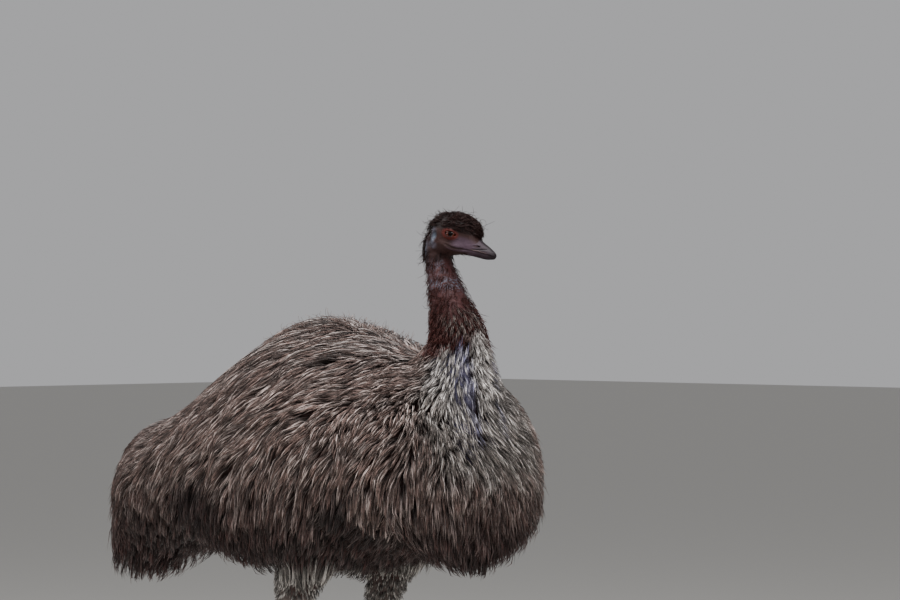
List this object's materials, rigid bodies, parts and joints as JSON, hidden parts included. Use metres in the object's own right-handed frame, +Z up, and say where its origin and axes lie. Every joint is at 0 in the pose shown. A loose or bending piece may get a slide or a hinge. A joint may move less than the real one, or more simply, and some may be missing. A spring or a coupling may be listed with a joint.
{
  "type": "emu",
  "caption": "Adult emu at life size, standing still on both feet with its shaggy coat, drawn-in neck, pale collar and down-turned bill.",
  "frame": {"origin": "on the floor, under the middle of the whole bird's bounding box", "axes": "+X is the way the body faces, +Y the bird's left, +Z up; the head is turned 11 degrees towards +Y"},
  "size_m": [1.0534, 0.5362, 1.2519],
  "materials": {
    "plumage": "matte",
    "collar_down": "matte",
    "neck_hair": "matte",
    "face_skin": "matte",
    "bill_horn": "satin",
    "scaled_leg": "matte",
    "claw_horn": "satin",
    "eyeball": "gloss"
  },
  "bodies": {
    "root": {"head": "face_skin", "bill_upper": "bill_horn", "bill_lower": "bill_horn", "eye_right": "eyeball", "eye_left": "eyeball", "neck_upper": "neck_hair", "neck_lower": "collar_down", "breast": "plumage", "trunk": "plumage", "tail": "plumage", "wing_right": "plumage", "wing_left": "plumage", "drumstick_right": "plumage", "drumstick_left": "plumage", "shank_right": "scaled_leg", "shank_left": "scaled_leg", "toe_inner_right": "scaled_leg", "toe_middle_right": "scaled_leg", "toe_outer_right": "scaled_leg", "toe_inner_left": "scaled_leg", "toe_middle_left": "scaled_leg", "toe_outer_left": "scaled_leg", "claw_inner_right": "claw_horn", "claw_middle_right": "claw_horn", "claw_outer_right": "claw_horn", "claw_inner_left": "claw_horn", "claw_middle_left": "claw_horn", "claw_outer_left": "claw_horn"}
  },
  "joints": []
}
